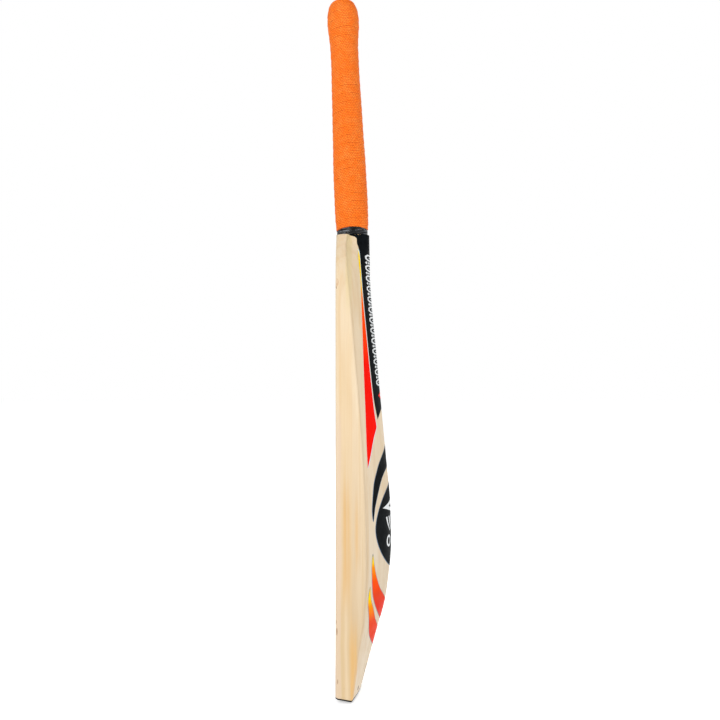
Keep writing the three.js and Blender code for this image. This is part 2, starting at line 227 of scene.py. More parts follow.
def outline_place(stretch, t, height):
    """Where one point of the half outline is at some heights, as x and depth."""
    half = value_at(HALF_WIDTH, height)
    edge = value_at(EDGE_DEPTH, height)
    corner = half - BACK_CORNER_RADIUS
    start = corner - value_at(CHAMFER_WIDTH, height)
    front = value_at(FRONT_CORNER_RADIUS, height)
    if stretch == "back":
        x = start * t**1.2
        return x, back_depth(x, height)
    if stretch == "chamfer":
        x = start + (corner - start) * t
        return x, back_depth(x, height)
    if stretch == "back_corner":
        turn = t * math.pi / 2
        depth = edge - BACK_CORNER_RADIUS * (1 - math.cos(turn))
        return corner + BACK_CORNER_RADIUS * math.sin(turn), depth
    front_top = face_depth(half, height) + front
    if stretch == "edge":
        return half, (edge - BACK_CORNER_RADIUS) * (1 - t) + front_top * t
    if stretch == "front_corner":
        turn = t * math.pi / 2
        return half - front * (1 - math.cos(turn)), front_top - front * math.sin(turn)
    x = (half - front) * (1 - t)
    return x, face_depth(x, height)


TOE_SLANT_TOP = 60
SQUARE_END_START = 500
SETTLING_ROUNDS = 6
ROUNDED_SIDE = 12
ROUNDED_DEPTH = 6


def blade_column(stretch, t, levels, rounding):
    """One line of points up the blade. Levels follow the slant of the toe at the bottom and the
    square end of the shoulders at the top. The lower end is rounded inwards."""
    toe_fade = 1 - smooth_step(0, TOE_SLANT_TOP, levels)
    top_fade = smooth_step(SQUARE_END_START, BLADE_LENGTH, levels)
    height = levels
    for _ in range(SETTLING_ROUNDS):
        x, depth = outline_place(stretch, t, height)
        toe = (SPINE_DEPTH[0][1] - depth) * math.tan(TOE_SLANT) * toe_fade
        top = (depth - HANDLE_ROOT[1]) * math.tan(HANDLE_LEAN) * top_fade
        height = levels + toe + top
    near = np.clip(1 - (levels - levels[0]) / rounding, 0, 1)
    inwards = rounding * (1 - np.sqrt(1 - near**2))
    centre = value_at(SPINE_DEPTH, height) / 2
    x = x - inwards * np.minimum(1, x / ROUNDED_SIDE)
    depth = depth - inwards * np.clip((depth - centre) / ROUNDED_DEPTH, -1, 1)
    return np.stack([x, depth, height], axis=-1)


def blade_loft(levels, rounding):
    """Points, faces, row count and column count of the blade's skin, open at both ends."""
    half = [blade_column(stretch, t, levels, rounding) for stretch, t in outline_points()]
    mirror = [column * [-1, 1, 1] for column in half[-2:0:-1]]
    columns = np.array(half + mirror)
    columns[0, :, 0] = 0
    columns[len(half) - 1, :, 0] = 0
    grid = np.transpose(columns, (1, 0, 2))[:, ::-1, :]
    rows, count = grid.shape[:2]
    points = grid.reshape(-1, 3)
    faces = grid_faces(rows, count)
    return points, faces, rows, count


def capped(points, faces, rows, count):
    """Closes both ends of a loft of mirrored outlines with strips of quads across them."""
    faces = list(faces)
    for row, flip in ((0, True), (rows - 1, False)):
        base = row * count
        ring = [base + i for i in range(count)]
        spine = count - 1
        order = [ring[(spine + i) % count] for i in range(count)]
        low, high = 1, count - 1
        first = (order[0], order[1], order[-1])
        faces.append(first[::-1] if flip else first)
        while high - low > 2:
            quad = (order[low], order[low + 1], order[high - 1], order[high])
            faces.append(quad[::-1] if flip else quad)
            low, high = low + 1, high - 1
        last = (order[low], order[low + 1], order[high])
        faces.append(last[::-1] if flip else last)
    return points, faces


# ---- Colours and node graphs ----

def paint(red, green, blue):
    """A colour given as on a screen, 0 to 255, as Blender's linear colour."""
    def linear(channel):
        value = channel / 255
        return value / 12.92 if value <= 0.04045 else ((value + 0.055) / 1.055) ** 2.4
    return (linear(red), linear(green), linear(blue), 1.0)


class Graph:
    """A material's node graph, with short ways to add and join nodes."""

    def __init__(self, name):
        self.material = bpy.data.materials.new(name)
        self.material.use_nodes = True
        self.tree = self.material.node_tree
        self.shader = self.tree.nodes["Principled BSDF"]
        self.place = self.node("ShaderNodeTexCoord").outputs["Object"]

    def feed(self, socket, value):
        if isinstance(value, bpy.types.NodeSocket):
            self.tree.links.new(value, socket)
        else:
            socket.default_value = value

    def node(self, kind, feeds=(), **settings):
        made = self.tree.nodes.new(kind)
        for name, value in settings.items():
            setattr(made, name, value)
        for key, value in dict(feeds).items():
            self.feed(made.inputs[key], value)
        return made

    def math(self, operation, *values):
        return self.node("ShaderNodeMath", enumerate(values), operation=operation).outputs[0]

    def times(self, first, second):
        return self.math("MULTIPLY", first, second)

    def plus(self, first, second):
        return self.math("ADD", first, second)

    def axes(self, vector):
        return self.node("ShaderNodeSeparateXYZ", {0: vector}).outputs

    def scaled(self, scale, shift=(0, 0, 0), vector=None):
        feeds = {"Vector": vector or self.place, "Scale": scale, "Location": shift}
        return self.node("ShaderNodeMapping", feeds).outputs[0]

    def noise(self, vector, scale=1.0, detail=3.0, roughness=0.5, distortion=0.0):
        feeds = {"Vector": vector, "Scale": scale, "Detail": detail, "Roughness": roughness,
                 "Distortion": distortion}
        return self.node("ShaderNodeTexNoise", feeds).outputs["Fac"]

    def between(self, value, low, high, start=0.0, end=1.0):
        """A value's place between two limits, as a number from start to end."""
        feeds = {"Value": value, "From Min": low, "From Max": high, "To Min": start, "To Max": end}
        return self.node("ShaderNodeMapRange", feeds, interpolation_type="SMOOTHSTEP").outputs[0]

    def ramp(self, value, stops):
        made = self.node("ShaderNodeValToRGB", {0: value})
        elements = made.color_ramp.elements
        while len(elements) < len(stops):
            elements.new(0.5)
        for element, (position, color) in zip(elements, stops):
            element.position = position
            element.color = color
        return made.outputs[0]

    def mix(self, factor, first, second, blend="MIX"):
        made = self.node("ShaderNodeMix", data_type="RGBA", blend_type=blend)
        self.feed(made.inputs["Factor"], factor)
        for socket, value in zip([s for s in made.inputs if s.type == "RGBA"], (first, second)):
            self.feed(socket, value)
        return next(s for s in made.outputs if s.type == "RGBA")

    def bump(self, height, distance, strength=1.0):
        feeds = {"Height": height, "Distance": distance, "Strength": strength}
        self.feed(self.shader.inputs["Normal"], self.node("ShaderNodeBump", feeds).outputs[0])

    def surface(self, color, roughness, **constants):
        self.feed(self.shader.inputs["Base Color"], color)
        self.feed(self.shader.inputs["Roughness"], roughness)
        for name, value in constants.items():
            self.shader.inputs[name.replace("_", " ")].default_value = value
        return self.material


# ---- Materials ----

PALE_WOOD = paint(231, 212, 183)
WARM_WOOD = paint(224, 203, 171)
BROWN = paint(120, 74, 40)

# Small marks in the wood: place in the design, half sizes in millimetres, strength and colour.
WOOD_MARKS = [
    ((54, 2.4, 496), (8, 2.2, 6.5), 0.5, paint(186, 134, 84)),
    ((54, 2.2, 497), (8, 1.1, 4), 0.6, PALE_WOOD),
    ((54, 1.4, 490), (8, 0.8, 2.2), 0.6, BROWN),
    ((54, 1.4, 97), (8, 0.7, 4), 0.45, BROWN),
    ((54, 2.2, 86), (8, 0.9, 5.5), 0.65, BROWN),
    ((54, 3, 27), (8, 0.9, 3.6), 0.5, BROWN),
    ((33.5, 27.3, 10.6), (3.5, 3, 3.6), 0.7, paint(80, 50, 40)),
    ((-54, 8, 380), (8, 2.6, 6), 0.5, BROWN),
    ((-30, 0, 180), (2.4, 9, 4.5), 0.5, BROWN),
    ((22, 0, 325), (1.6, 9, 3.4), 0.45, BROWN),
]

# Painted shade: a slightly olive tint on the facet beside each edge, which turns away from the light; it
# fades in over the upper fifth of the blade.
SHADED_FACET_DEPTH = (-0.0025, 0.0045)
SHADED_FACET_START = (0.44, 0.5)

# Streaks on the edges: front and back depth, lowest and highest height, strength and colour.
EDGE_STREAKS = [
    (6, 20, -20, 430, 0.42, paint(219, 186, 134)),
    (-4, 7, -20, 340, 0.8, paint(219, 195, 170)),
    (9.4, 17.6, 125, 250, 0.9, paint(216, 174, 116)),
    (23, 27.5, 165, 232, 0.75, paint(216, 174, 116)),
    (17.5, 26, -20, 84, 0.8, paint(220, 174, 106)),
    (11.5, 15, -20, 120, 0.5, paint(228, 210, 180)),
    (7, 9, -20, 90, 0.4, paint(205, 184, 140)),
]


def willow_material():
    """Pale willow: growth rings that run up the blade, fine fibres, warm streaks, small marks and
    painted shade beside each edge.
    """
    g = Graph("willow")
    x, y, z = g.axes(g.place)
    drift = g.noise(g.scaled((9, 9, 1.3)), 1.0, 2.0)
    lean = g.math("MULTIPLY_ADD", y, 0.25, x)
    ring_place = g.plus(g.times(lean, 88), g.times(drift, 2.4))
    ring = g.math("FRACT", ring_place)
    late_wood = g.ramp(ring, [(0, (0, 0, 0, 1)), (0.62, (0.1, 0.1, 0.1, 1)), (0.93, (1, 1, 1, 1)),
                              (1, (0, 0, 0, 1))])
    streaks = g.noise(g.scaled((260, 260, 2.6)), 1.0, 4.0, 0.6)
    fibres = g.noise(g.scaled((1500, 1500, 32)), 1.0, 2.0, 0.6)
    patches = g.noise(g.scaled((22, 22, 5)), 1.0, 2.0)
    base = g.mix(g.between(patches, 0.3, 0.7), PALE_WOOD, WARM_WOOD)
    base = g.mix(g.between(streaks, 0.42, 0.75, 0, 0.6), base, paint(219, 188, 143))
    base = g.mix(g.times(late_wood, 0.2), base, paint(203, 167, 118))
    base = g.mix(g.between(fibres, 0.35, 0.8, 0, 0.22), base, paint(206, 176, 134))
    near_edge = g.between(g.math("ABSOLUTE", x), 0.046, 0.051)
    lower_tint = g.mix(near_edge, paint(241, 246, 255), paint(238, 234, 227))
    base = g.mix(g.between(z, 0.1, 0.4, 1, 0), base, lower_tint, "MULTIPLY")
    base = edge_streaks(g, base, y, z, streaks, near_edge)
    # Painted shade: an olive tint on the facet beside each edge.
    facet = g.times(band(g, y, *SHADED_FACET_DEPTH, 0.0012), g.between(z, *SHADED_FACET_START))
    base = g.mix(g.times(facet, 0.6), base, paint(219, 199, 150))
    flecks = g.node("ShaderNodeTexVoronoi", {"Vector": g.scaled((260, 260, 60)), "Scale": 1.0})
    fleck_mask = g.between(flecks.outputs["Distance"], 0.03, 0.1, 1, 0)
    rare = g.between(g.noise(g.scaled((30, 30, 12)), 1.0, 1.0), 0.6, 0.68)
    fleck_mask = g.times(g.times(fleck_mask, rare), 0.5)
    base = g.mix(fleck_mask, base, paint(150, 102, 60))
    for place, half_sizes, strength, color in WOOD_MARKS:
        base = g.mix(g.times(spot(g, place, half_sizes), strength), base, color)
    base = g.mix(g.times(scuffed_spine(g, x, z), 0.92), base, paint(48, 38, 34))
    height = g.math("MULTIPLY_ADD", fibres, 0.6, g.times(late_wood, 0.4))
    g.bump(height, 0.0001, 0.45)
    roughness = g.between(streaks, 0.3, 0.8, 0.5, 0.62)
    return g.surface(base, roughness, Specular_IOR_Level=0.3)


def spot(g, place, half_sizes):
    """1 in the middle of a small mark in the wood, falling to 0 at its edge."""
    centre = to_frame(place)
    shift = [-part / (size * MM) for part, size in zip(centre, half_sizes)]
    local = g.scaled([1 / (size * MM) for size in half_sizes], shift)
    reach = g.node("ShaderNodeVectorMath", {0: local}, operation="LENGTH").outputs["Value"]
    frayed = g.noise(g.scaled((700, 700, 250)), 1.0, 2.0)
    ragged = g.math("MULTIPLY_ADD", frayed, 0.7, g.math("SUBTRACT", reach, 0.35))
    return g.between(ragged, 0.55, 1.0, 1, 0)


def band(g, value, low, high, soft):
    """1 between two limits, with soft ends."""
    past_low = g.between(value, low - soft, low + soft)
    return g.times(past_low, g.between(value, high - soft, high + soft, 1, 0))


SCUFF_MIDDLE = 26
SCUFF_HALF_WIDTH = 24
SCUFF_HALF_LENGTH = 32


def scuffed_spine(g, x, z):
    """Dark specks, thinning outwards, where the lowest stretch of the spine has been knocked about."""
    across = g.math("DIVIDE", x, SCUFF_HALF_WIDTH * MM)
    middle = to_frame([0, 0, SCUFF_MIDDLE])[2]
    along = g.math("DIVIDE", g.math("SUBTRACT", z, middle), SCUFF_HALF_LENGTH * MM)
    reach = g.plus(g.times(across, across), g.times(along, along))
    knocks = g.math("MULTIPLY_ADD", g.noise(g.place, 60, 2.0), 0.35, g.noise(g.place, 480, 3.0, 0.65))
    specks = g.between(g.math("SUBTRACT", knocks, g.times(reach, 0.11)), 0.7, 0.75)
    behind = g.between(g.axes(g.place)[1], 0.0, 0.004)
    return g.times(specks, behind)


def edge_streaks(g, base, y, z, streaks, near_edge):
    """Broad warm and pinkish streaks that run up the two edges of the blade."""
    wander = g.math("MULTIPLY_ADD", g.noise(g.scaled((4, 4, 9)), 1.0, 2.0), 0.008, -0.004)
    depth = g.plus(g.plus(y, TOE_MIDDLE_DEPTH * MM), wander)
    height = g.plus(z, TOE_MIDDLE_HEIGHT * MM)
    for front, back, low, high, strength, color in EDGE_STREAKS:
        deep_enough = band(g, depth, front * MM, back * MM, 0.0016)
        mask = g.times(deep_enough, band(g, height, low * MM, high * MM, 0.03))
        mask = g.times(mask, near_edge)
        mask = g.times(mask, g.between(streaks, 0.3, 0.6, 0.45, 1))
        base = g.mix(g.times(mask, strength), base, color)
    return base


def cane_material():
    """Manau cane: tan, with dark vessel lines along the strip that show as pores on cut ends."""
    g = Graph("cane")
    pores = g.node("ShaderNodeTexVoronoi", {"Vector": g.scaled((900, 900, 7)), "Scale": 1.0})
    pore = g.between(pores.outputs["Distance"], 0.12, 0.34, 1, 0)
    tone = g.noise(g.scaled((120, 120, 6)), 1.0, 3.0)
    base = g.mix(g.between(tone, 0.3, 0.7), paint(216, 186, 137), paint(198, 163, 112))
    base = g.mix(g.times(pore, 0.55), base, paint(122, 86, 52))
    g.bump(g.math("SUBTRACT", 1.0, pore), 0.00015, 0.5)
    return g.surface(base, 0.6)


def tape_material():
    """Black plastic tape: glossy, with painted grey highlights in streaks that run round the handle."""
    g = Graph("black_tape")
    stretch = g.noise(g.scaled((85, 85, 520)), 1.0, 2.0, 0.5, 0.6)
    pucker = g.noise(g.place, 240, 3.0)
    # Painted highlights: grey streaks that run round the handle.
    marks = g.times(g.between(stretch, 0.52, 0.64), g.between(pucker, 0.35, 0.6))
    base = g.mix(g.times(marks, 0.9), paint(6, 7, 9), paint(114, 118, 124))
    g.bump(g.plus(stretch, g.times(pucker, 0.4)), 0.0008, 0.8)
    return g.surface(base, g.between(pucker, 0.3, 0.75, 0.16, 0.34), Specular_IOR_Level=0.28)


def twine_material():
    """Waxed linen thread: uneven wax, with fine strands a little darker than the rest."""
    g = Graph("twine")
    strands = g.noise(g.scaled((1400, 1400, 2600)), 1.0, 2.0, 0.6)
    wax = g.noise(g.place, 70, 3.0)
    base = g.mix(g.between(wax, 0.35, 0.75), paint(214, 199, 160), paint(190, 172, 130))
    base = g.mix(g.between(strands, 0.5, 0.8, 0, 0.5), base, paint(150, 128, 90))
    g.bump(strands, 0.0002, 0.6)
    return g.surface(base, g.between(wax, 0.3, 0.7, 0.6, 0.8))


def rubber_material(name, color, pale, roughness):
    """Plain moulded rubber with a faint grain."""
    g = Graph(name)
    grain = g.noise(g.place, 900, 3.0, 0.6)
    wear = g.noise(g.place, 60, 3.0)
    g.bump(grain, 0.0001, 0.4)
    base = g.mix(g.between(wear, 0.35, 0.75), color, pale)
    return g.surface(base, g.between(grain, 0.3, 0.7, roughness - 0.08, roughness + 0.08),
                     Specular_IOR_Level=0.22)


GRIP_PITCH = 10.2
GRIP_ROW = GRIP_PITCH / 5
GRIP_CELLS_ROUND = 35


def grip_material():
    """Orange rubber with small scales that wind up the handle in bands, with painted shade under and
    between them.
    """
    g = Graph("grip_rubber")
    feeds = {"Vector": g.place, "Location": tuple(to_frame(HANDLE_ROOT)),
             "Rotation": (HANDLE_LEAN, 0, 0), "Scale": (MM, MM, MM)}
    x, y, up = g.axes(g.node("ShaderNodeMapping", feeds, vector_type="TEXTURE").outputs[0])
    turn = g.math("DIVIDE", g.math("ARCTAN2", y, x), 2 * math.pi)
    wound = g.math("SUBTRACT", up, g.times(turn, GRIP_PITCH))
    wobble = g.noise(g.place, 260, 2.0)
    sway = g.noise(g.scaled((60, 60, 25)), 1.0, 2.0)
    row_place = g.plus(g.math("DIVIDE", wound, GRIP_ROW), g.times(wobble, 0.6))
    row = g.math("FLOOR", row_place)
    odd_row = g.math("MODULO", row, 2.0)
    cell_place = g.times(turn, GRIP_CELLS_ROUND)
    cell_place = g.plus(cell_place, g.times(odd_row, 0.5))
    cell_place = g.plus(cell_place, g.times(wobble, 1.1))
    across = g.math("SUBTRACT", g.math("FRACT", cell_place), 0.5)
    along = g.math("SUBTRACT", g.math("FRACT", row_place), 0.5)
    reach = g.plus(g.times(across, across), g.times(along, along))
    scale_height = g.between(reach, 0.02, 0.32, 1, 0)
    # Painted shade: the lower side of each scale is darker.
    painted_side_shade = g.between(along, -0.5, 0.1, 1, 0)
    band_place = g.plus(g.math("DIVIDE", wound, GRIP_PITCH), g.times(sway, 0.12))
    band_place = g.math("FRACT", band_place)
    seam = g.math("MAXIMUM", g.between(band_place, 0.03, 0.07, 1, 0), g.between(band_place, 0.96, 0.99))
    seam_strength = g.between(g.noise(g.scaled((45, 45, 45)), 1.0, 2.0), 0.42, 0.62, 0, 1)
    seam = g.times(seam, seam_strength)
    fuzz = g.noise(g.place, 1600, 3.0, 0.7)
    tone = g.noise(g.place, 130, 3.0)
    blotch = g.noise(g.place, 35, 2.0)
    base = g.mix(g.between(tone, 0.3, 0.75), paint(255, 128, 22), paint(255, 148, 54))
    base = g.mix(g.between(blotch, 0.4, 0.75, 0, 0.4), base, paint(255, 126, 16))
    base = g.mix(g.times(painted_side_shade, 0.45), base, paint(240, 88, 2))
    # Painted shade in the hollows between the scales.
    painted_hollow_shade = g.math("SUBTRACT", 1.0, scale_height)
    base = g.mix(g.times(painted_hollow_shade, 0.62), base, paint(234, 80, 2))
    # Painted shade in the grooves along the seams between the bands.
    base = g.mix(g.times(seam, 0.4), base, paint(214, 68, 4))
    height = g.math("MULTIPLY_ADD", fuzz, 0.3, scale_height)
    g.bump(g.math("SUBTRACT", height, g.times(seam, 0.4)), 0.0007, 0.9)
    return g.surface(base, g.between(fuzz, 0.3, 0.7, 0.66, 0.82), Specular_IOR_Level=0.25)


FILM_ROUGHNESS = (0.39, 0.57)
FILM_GRAIN = 0.25


def film_material(name, base_of):
    """Printed film glued to the wood: satin, with the grain showing through a little."""
    g = Graph(name)
    fibres = g.noise(g.scaled((700, 700, 18)), 1.0, 2.0)
    smears = g.noise(g.place, 90, 3.0)
    g.bump(fibres, 0.00006, FILM_GRAIN)
    roughness = g.between(smears, 0.3, 0.75, *FILM_ROUGHNESS)
    return g.surface(base_of(g), roughness, Specular_IOR_Level=0.03)


def speckled(color, other):
    """A film colour that varies a little over the print."""
    def base_of(g):
        return g.mix(g.between(g.noise(g.place, 240, 3.0, 0.7), 0.3, 0.75), color, other)
    return base_of


def flame_color(stops):
    """A film colour that changes with height: (height, colour) pairs from the lowest up."""
    def base_of(g):
        low, high = stops[0][0], stops[-1][0]
        bottom, top = [to_frame([0, 0, height])[2] for height in (low, high)]
        height = g.node("ShaderNodeMapRange", {"Value": g.axes(g.place)[2], "From Min": bottom,
                                               "From Max": top}).outputs[0]
        plain = g.ramp(height, [((stop - low) / (high - low), color) for stop, color in stops])
        return g.mix(g.between(g.noise(g.place, 300, 3.0, 0.7), 0.35, 0.8, 0, 0.18), plain,
                     paint(255, 120, 90), "MULTIPLY")
    return base_of


RED = paint(246, 16, 0)
SOFT_RED = paint(221, 56, 36)
DEEP_ORANGE = paint(255, 80, 0)
ORANGE = paint(255, 148, 0)
YELLOW = paint(255, 216, 0)
BLACK = paint(9, 12, 14)


# ---- Wood pieces ----

def splice_cutter():
    """The wedge-shaped slot that the handle's lower end is glued into. It widens to just above the
    shoulders, goes on straight to be clear of the wood, and is deeper than the blade."""
    tip, top = SPLICE_HALF_WIDTH_TIP + GLUE_LINE, SPLICE_HALF_WIDTH_TOP + GLUE_LINE
    low, widest, clear, deep = -SPLICE_LENGTH - GLUE_LINE, 3, 20, 100
    outline = [(-tip, low), (tip, low), (top, widest), (top, clear), (-top, clear), (-top, widest)]
    count = len(outline)
    points = [(x, -deep, up) for x, up in outline] + [(x, deep, up) for x, up in outline]
    faces = [tuple(range(count)), tuple(range(2 * count - 1, count - 1, -1))]
    faces += [(i, i + count, (i + 1) % count + count, (i + 1) % count) for i in range(count)]
    return mesh_object("splice_cutter", handle_to_bat(points), faces, None, smooth=False)


# Levels up the blade, closer together where it curves more: stretches of (from, to, step).
LEVEL_STRETCHES = [(5, 60, 2.2), (60, 480, 3), (480, 552, 1.6)]
LOWEST_LEVELS = [0, 0.25, 0.6, 1, 1.6]
TOE_LEVELS = [0, 0.1, 0.3, 0.6, 1, 1.4, TOE_GUARD_THICKNESS]


def make_blade(material):
    stretches = [np.arange(*stretch) for stretch in LEVEL_STRETCHES]
    levels = np.concatenate([TOE_GUARD_THICKNESS + TOE_GAP + np.array(LOWEST_LEVELS), *stretches,
                             np.linspace(LEVEL_STRETCHES[-1][1], BLADE_LENGTH - 0.5, 6),
                             [BLADE_LENGTH]])
    points, faces = capped(*blade_loft(levels, rounding=0.7))
    blade = mesh_object("blade_willow", points, faces, material)
    cutter = splice_cutter()
    cut = blade.modifiers.new("slot", "BOOLEAN")
    cut.operation = "DIFFERENCE"
    cut.solver = "EXACT"
    cut.object = cutter
    apply_modifiers(blade)
    bpy.data.objects.remove(cutter)
    return finish_piece(blade, "willow", "blade")


def make_toe_guard(material):
    points, faces = capped(*blade_loft(np.array(TOE_LEVELS), rounding=1.5))
    guard = mesh_object("toe_guard_rubber", points, faces, material)
    return finish_piece(guard, "toe_rubber", "toe_guard")


# ---- Handle pieces ----

def sleeve(name, path, columns, material, ripple, shift=None):
    """A closed sleeve round the handle. Its path is a loop of (side, depth, height) half sizes. A
    ripple adds to the radius, and a shift to the height, at each height and turn."""
    path = np.array(path, float)
    turns = np.linspace(0, 2 * math.pi, columns, endpoint=False)
    side, depth, up = [path[:, [i]] for i in range(3)]
    extra = ripple(up, turns[None, :])
    x = (side + extra) * np.cos(turns)
    y = (depth + extra) * np.sin(turns)
    raised = up + (shift(up, turns[None, :]) if shift else 0 * x)
    points = np.stack([x, y, raised], axis=-1).reshape(-1, 3)
    faces = grid_faces(len(path), columns, wrap_rows=True)
    return mesh_object(name, handle_to_bat(points), faces, material)


def only_on_first(count, ripple):
    """The same ripple on the first points of a sleeve's path, and none on the rest."""
    def limited(up, turns):
        proud = ripple(up, turns)
        proud[count:] = 0
        return proud
    return limited


def grip_half_sizes(height, inset=0.0):
    """Half thickness of the handle, side to side and front to back, in from the grip's outside."""
    return value_at(GRIP_SIDE, height) - inset, value_at(GRIP_DEPTH, height) - inset


def inner_half_sizes(height, inset=0.0):
    """The same, drawn in from the grip's inner wall."""
    return grip_half_sizes(height, value_at(GRIP_WALL, height) + inset)


def grip_ripple(up, turns):
    """Overlapping bands that wind up the grip, each standing a little proud at its lower edge,
    and a slight unevenness from being rolled on by hand."""
    wound = up / GRIP_PITCH - turns / (2 * math.pi)
    place = wound - np.floor(wound)
    lip = 0.32 * (1 - smooth_step(0, 0.92, place)) * smooth_step(0, 0.1, place)
    groove = -0.12 * np.exp(-((place - 0.985) / 0.03) ** 2) - 0.12 * np.exp(-(place / 0.03) ** 2)
    uneven = 0.1 * np.sin(up / 23 + 2 * turns) + 0.06 * np.sin(up / 9 - 3 * turns + 1)
    fade = smooth_step(GRIP_START, GRIP_START + 2, up)
    fade = fade * (1 - smooth_step(HANDLE_LENGTH - 3, HANDLE_LENGTH, up))
    return (lip + groove + uneven) * fade - 0.1


def grip_end_sag(up, turns):
    """The grip's lower end and the tape hang a little lower at front and back than at the sides."""
    near_end = 1 - smooth_step(GRIP_START, GRIP_START + 9, up)
    above_tape_start = smooth_step(2, GRIP_START - 0.5, up)
    return (1.2 * np.cos(2 * turns) - 0.3) * near_end * above_tape_start


def make_grip(material):
    round_start = HANDLE_LENGTH - TOP_ROUNDING_HEIGHT
    outside = []
    for height in np.arange(GRIP_START + 0.5, round_start, 0.62):
        outside.append((*grip_half_sizes(height), height))
    knob = float(value_at(GRIP_DEPTH, HANDLE_LENGTH))
    for turn in np.linspace(0, math.pi / 2, 36):
        radius = knob - TOP_ROUNDING * (1 - math.cos(turn))
        outside.append((radius, radius, round_start + TOP_ROUNDING_HEIGHT * math.sin(turn)))
    hole = [(1.0, 0), (0.3, 0.3), (0, 1.0), (0, TOP_WALL)]
    for wider, lower in hole:
        radius = TOP_HOLE_RADIUS + wider
        outside.append((radius, radius, HANDLE_LENGTH - lower))
    inside = [(*inner_half_sizes(height), height)
              for height in np.linspace(HANDLE_LENGTH - TOP_WALL, GRIP_START, 60)]
    rim = [(*grip_half_sizes(GRIP_START, 0.5), GRIP_START)]
    ripple = only_on_first(len(outside) - len(hole), grip_ripple)
    grip = sleeve("grip_rubber_sleeve", outside + inside + rim, 180, material, ripple, grip_end_sag)
    return finish_piece(grip, "grip_rubber", "grip")


def make_tape(material):
    """Two and a half turns of tape, each thicker towards its upper edge, with small puckers."""
    start, end = 0.25, GRIP_START - 0.15
    pitch = 3.1
    heights = np.linspace(start, end, 34)

    def ripple(up, turns):
        wound = (up - start) / pitch - turns / (2 * math.pi)
        step = 0.16 * (wound - np.floor(wound))
        pucker = 0.12 * np.sin(7 * turns + up) * np.sin(3 * turns - up / 2)
        return step + pucker - 0.1

    outside = [(*inner_half_sizes(height, -TAPE_WALL), height) for height in heights]
    rims = [(*inner_half_sizes(end, -TAPE_WALL + 0.3), end + 0.1)]
    inside = [(*inner_half_sizes(height, -0.02), height) for height in (end, start)]
    ripple = only_on_first(len(outside), ripple)
    tape = sleeve("grip_end_tape_ring", outside + rims + inside, 160, material, ripple, grip_end_sag)
    return finish_piece(tape, "black_tape", "grip_end_tape")


def make_twine(material):
    """Waxed thread wound closely round the cane, as one ridged sleeve."""
    thread = 1.1
    start, end = 0.4, HANDLE_LENGTH - TWINE_STOP
    gap = 0.3
    heights = np.arange(start, end, thread / 5)

    def ripple(up, turns):
        wound = up / thread - turns / (2 * math.pi)
        return -0.25 * (1 - np.abs(np.sin(math.pi * wound)))

    outside = [(*inner_half_sizes(height, gap), height) for height in heights]
    inside = [(*inner_half_sizes(height, gap + TWINE_WALL), height)
              for height in np.linspace(end, start, 60)]
    ripple = only_on_first(len(outside), ripple)
    twine = sleeve("twine_winding", outside + inside, 48, material, ripple)
    return finish_piece(twine, "twine", "twine_binding")


# ---- Prints on the back ----

def smooth_line(points, steps=8):
    """Points of a smooth curve through some points, all but the last one."""
    points = [np.array(point, float) for point in points]
    if len(points) == 2:
        return [tuple(points[0])]
    padded = [points[0], *points, points[-1]]
    line = []
    for before, start, end, after in zip(padded, padded[1:], padded[2:], padded[3:]):
        for step in range(steps):
            t = step / steps
            line.append(tuple(0.5 * (2 * start + (end - before) * t
                                     + (2 * before - 5 * start + 4 * end - after) * t**2
                                     + (3 * start - before - 3 * end + after) * t**3)))
    return line


def closed_line(stretches):
    """A closed outline from stretches that meet at corners."""
    return [point for stretch in stretches for point in smooth_line(stretch)]


def mirrored(stretch):
    return [(-x, height) for x, height in reversed(stretch)]


def across_spine(upper, lower):
    """A closed outline from the right halves of its upper and lower curves, which both start on
    the spine and end in one point."""
    def whole(half):
        return mirrored(half) + list(half[1:])
    return closed_line([whole(upper), whole(lower)[::-1]])


def grown(outline, distance):
    """A closed outline moved outwards by a distance."""
    points = np.array(outline, float)
    following = np.roll(points, -1, axis=0)
    area = np.sum(points[:, 0] * following[:, 1] - following[:, 0] * points[:, 1])
    sides = following - points
    sides /= np.linalg.norm(sides, axis=1, keepdims=True)
    outwards = np.stack([sides[:, 1], -sides[:, 0]], axis=1) * math.copysign(1, area)
    before = np.roll(outwards, 1, axis=0)
    shared = outwards + before
    shared /= np.maximum(0.45, 1 + np.sum(outwards * before, axis=1, keepdims=True))
    return [tuple(point) for point in points + shared * distance]


def film_faces(outline, cell=(1.0, 2.0)):
    """A flat outline of (x, height) points cut into small faces, so that it can follow the back."""
    flat = bmesh.new()
    corners = [flat.verts.new((x, 0, height)) for x, height in outline]
    triangles = geometry.tessellate_polygon([[Vector((x, height, 0)) for x, height in outline]])
    for a, b, c in triangles:
        flat.faces.new([corners[a], corners[b], corners[c]])
    for axis, size in ((0, cell[0]), (2, cell[1])):
        places = [vertex.co[axis] for vertex in flat.verts]
        for step in range(math.floor(min(places) / size) + 1, math.ceil(max(places) / size)):
            centre, normal = Vector(), Vector()
            centre[axis] = step * size
            normal[axis] = 1
            everything = flat.verts[:] + flat.edges[:] + flat.faces[:]
            bmesh.ops.bisect_plane(flat, geom=everything, dist=1e-4, plane_co=centre, plane_no=normal)
    bmesh.ops.recalc_face_normals(flat, faces=flat.faces[:])
    flat.verts.index_update()
    if sum(face.normal.y * face.calc_area() for face in flat.faces) < 0:
        bmesh.ops.reverse_faces(flat, faces=flat.faces[:])
    places = np.array([(vertex.co.x, vertex.co.z) for vertex in flat.verts])
    faces = [tuple(vertex.index for vertex in face.verts) for face in flat.faces]
    flat.free()
    return places, faces


FILM_THICKNESS = 0.09
SHOULDER_LIFT = 0.5
SHOULDER_LIFT_RISE = (505, 535)


